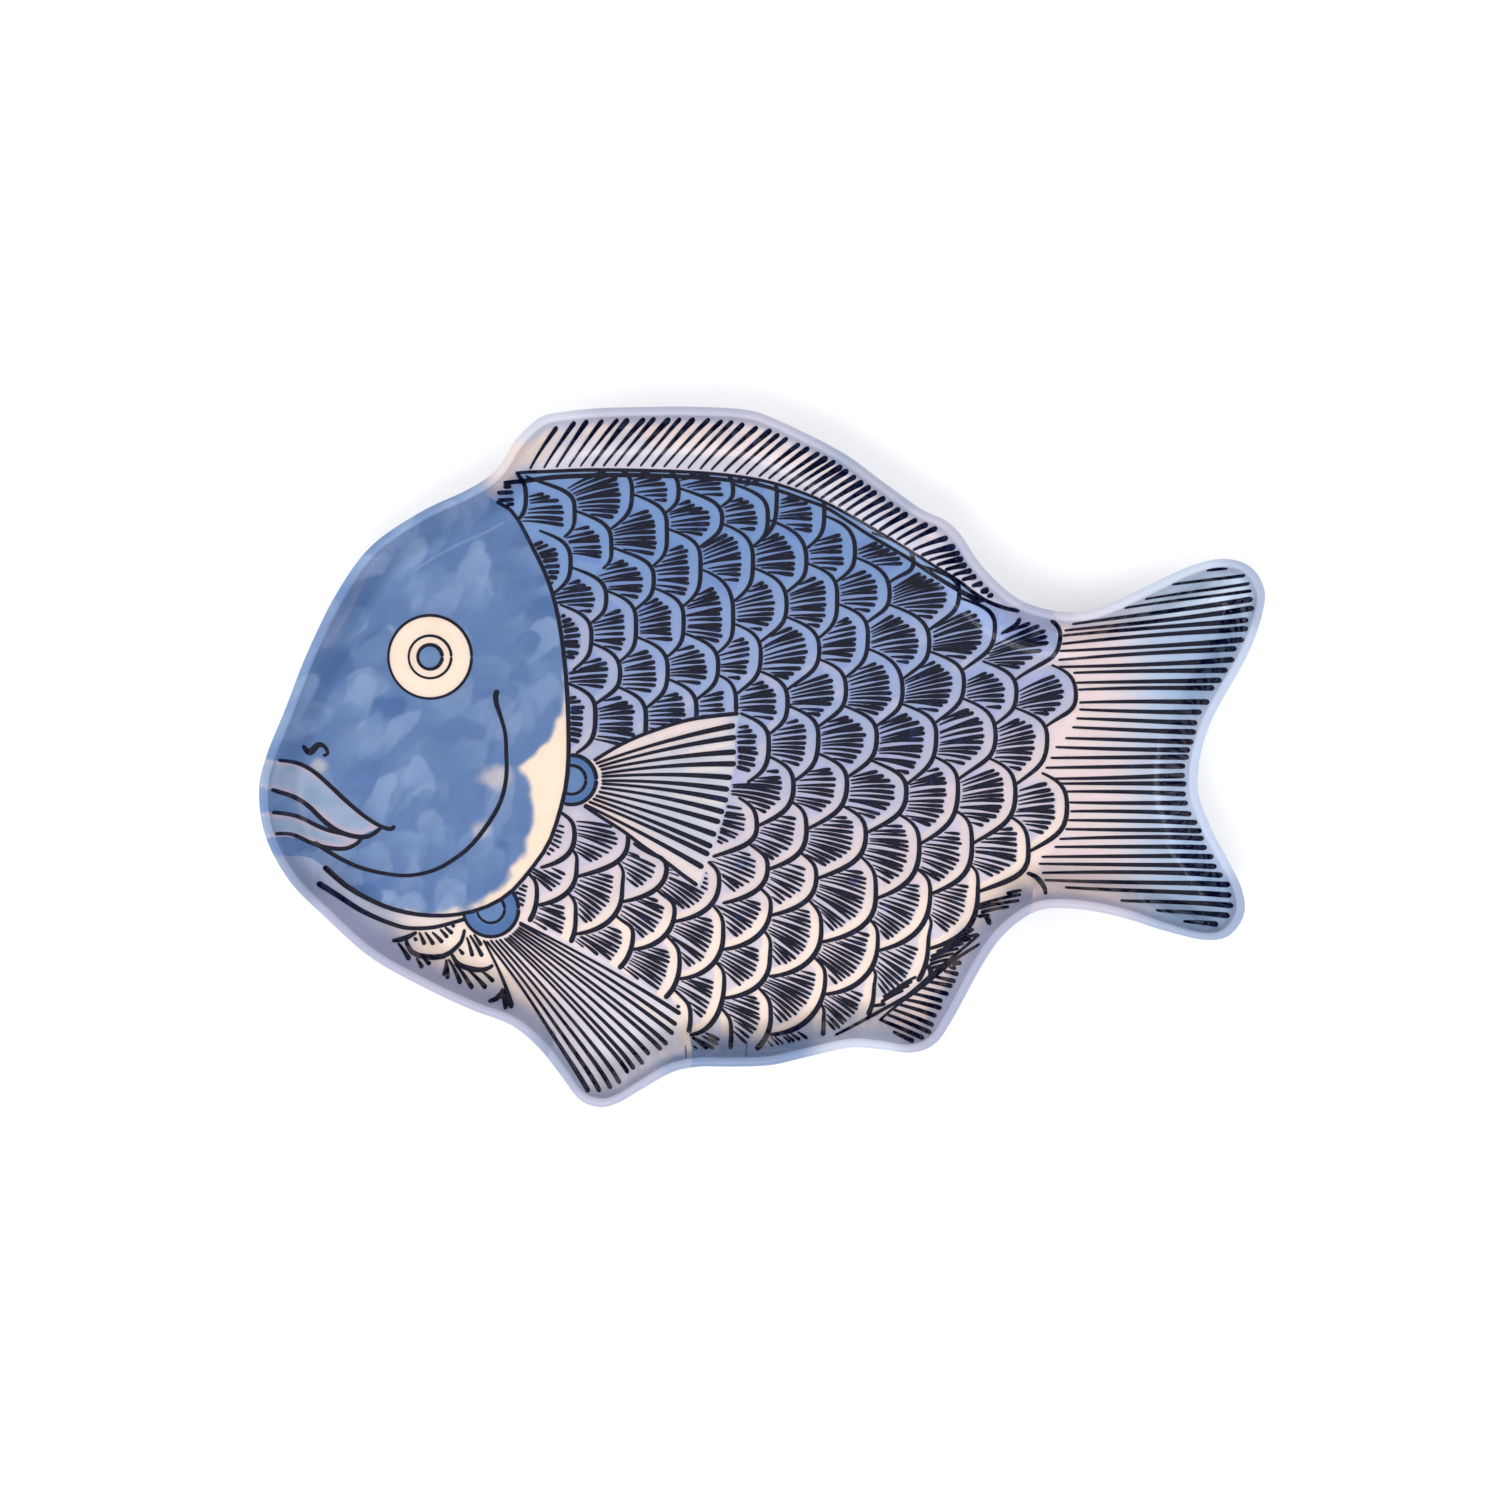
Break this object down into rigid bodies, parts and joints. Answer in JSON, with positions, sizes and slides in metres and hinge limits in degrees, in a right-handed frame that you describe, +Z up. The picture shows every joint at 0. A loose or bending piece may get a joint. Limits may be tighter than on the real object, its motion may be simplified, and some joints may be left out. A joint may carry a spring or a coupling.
{
  "type": "fish shaped platter",
  "caption": "Shallow serving platter in the outline of a fish, with an upswept wall, a rounded rim, a foot ring and a printed fish decoration under a clear glaze.",
  "frame": {"origin": "middle of the platter's length and width, on the surface that it stands on", "axes": "+X from the mouth to the tail, +Y to the back fin, +Z up out of the well"},
  "size_m": [0.356, 0.248, 0.025],
  "materials": {
    "moulding": "glossy moulded melamine, pale blue-white",
    "head_print": "printed decor foil under gloss",
    "scale_print": "printed decor foil under gloss",
    "dorsal_print": "printed decor foil under gloss",
    "tail_print": "printed decor foil under gloss",
    "anal_print": "printed decor foil under gloss",
    "pectoral_print": "printed decor foil under gloss",
    "root_print": "printed decor foil under gloss",
    "pelvic_print": "printed decor foil under gloss",
    "lip_print": "printed decor foil under gloss",
    "eye_print": "printed decor foil under gloss",
    "pupil_print": "printed decor foil under gloss",
    "glaze": "clear high gloss overlay"
  },
  "bodies": {
    "root": {"moulded_body": "moulding", "head_foil": "head_print", "scale_foil": "scale_print", "dorsal_fin_foil": "dorsal_print", "tail_fin_foil": "tail_print", "anal_fin_foil": "anal_print", "pectoral_fin_foil": "pectoral_print", "pectoral_root_foil": "root_print", "pelvic_fin_foil": "pelvic_print", "pelvic_root_foil": "root_print", "upper_lip_foil": "lip_print", "lower_lip_foil": "lip_print", "eye_foil": "eye_print", "pupil_foil": "pupil_print", "clear_glaze": "glaze"}
  },
  "joints": []
}
